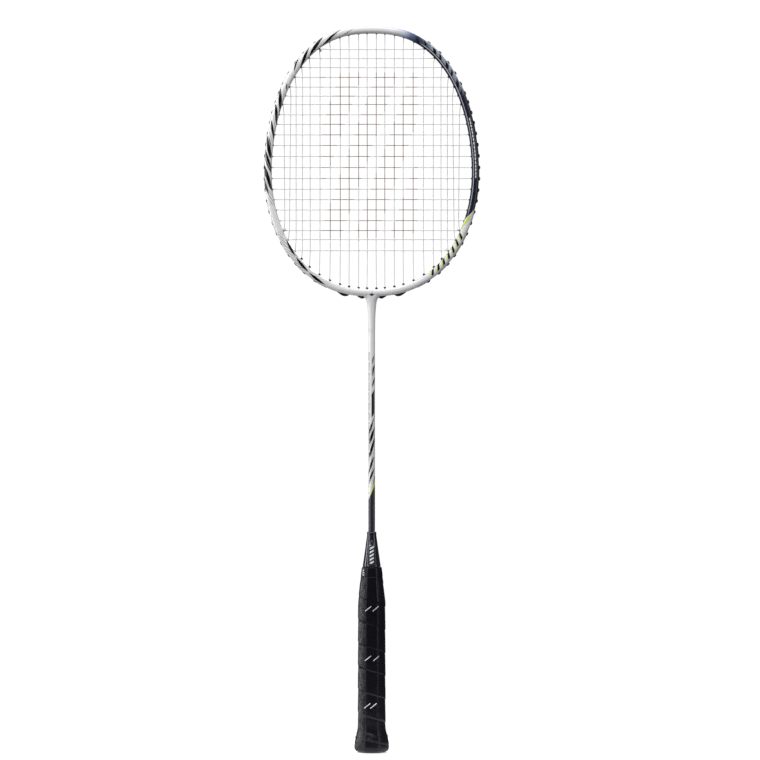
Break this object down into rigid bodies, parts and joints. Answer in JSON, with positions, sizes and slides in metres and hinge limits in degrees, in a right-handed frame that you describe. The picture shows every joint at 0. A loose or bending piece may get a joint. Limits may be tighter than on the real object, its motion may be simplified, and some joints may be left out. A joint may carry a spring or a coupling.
{
  "type": "badminton racket",
  "caption": "Strung badminton racket: oval hoop with woven string bed, slim tube shaft, tapered cone and eight-sided wrapped handle with a flared butt.",
  "frame": {"origin": "centre of the flat end of the butt", "axes": "+Z along the shaft from the butt to the top of the head, +X across the head, -Y out of the front of the string bed"},
  "size_m": [0.2004, 0.0296, 0.6754],
  "materials": {
    "frame_paint": "gloss lacquer, white with dark slashes and a dark blue right side",
    "shaft_paint": "gloss lacquer, white fading to dark grey",
    "inner_plastic": "matte",
    "grommet_plastic": "satin",
    "string": "coated multifilament, slightly glossy",
    "cone_plastic": "satin",
    "core_wood": "unfinished",
    "tape": "matte",
    "grip": "matte synthetic leather, finely pebbled",
    "butt_rubber": "matte"
  },
  "bodies": {
    "root": {"butt_cap": "butt_rubber", "cone_cap": "cone_plastic", "cross_string": "string", "finishing_tape": "tape", "grip_wrap": "grip", "grommet_left_02": "grommet_plastic", "grommet_left_04": "grommet_plastic", "grommet_left_06": "grommet_plastic", "grommet_left_08": "grommet_plastic", "grommet_left_10": "grommet_plastic", "grommet_left_12": "grommet_plastic", "grommet_left_14": "grommet_plastic", "grommet_left_16": "grommet_plastic", "grommet_left_18": "grommet_plastic", "grommet_left_20": "grommet_plastic", "grommet_left_22": "grommet_plastic", "grommet_left_24": "grommet_plastic", "grommet_left_26": "grommet_plastic", "grommet_left_28": "grommet_plastic", "grommet_left_30": "grommet_plastic", "grommet_right_02": "grommet_plastic", "grommet_right_04": "grommet_plastic", "grommet_right_06": "grommet_plastic", "grommet_right_08": "grommet_plastic", "grommet_right_10": "grommet_plastic", "grommet_right_12": "grommet_plastic", "grommet_right_14": "grommet_plastic", "grommet_right_16": "grommet_plastic", "grommet_right_18": "grommet_plastic", "grommet_right_20": "grommet_plastic", "grommet_right_22": "grommet_plastic", "grommet_right_24": "grommet_plastic", "grommet_right_26": "grommet_plastic", "grommet_right_28": "grommet_plastic", "grommet_right_30": "grommet_plastic", "grommet_top_centre": "grommet_plastic", "handle_core": "core_wood", "head_frame": "frame_paint", "main_string": "string", "shaft": "shaft_paint", "t_joint": "inner_plastic", "throat_pad_inner_left": "grommet_plastic", "throat_pad_inner_right": "grommet_plastic", "throat_pad_outer_left": "grommet_plastic", "throat_pad_outer_right": "grommet_plastic"}
  },
  "joints": []
}
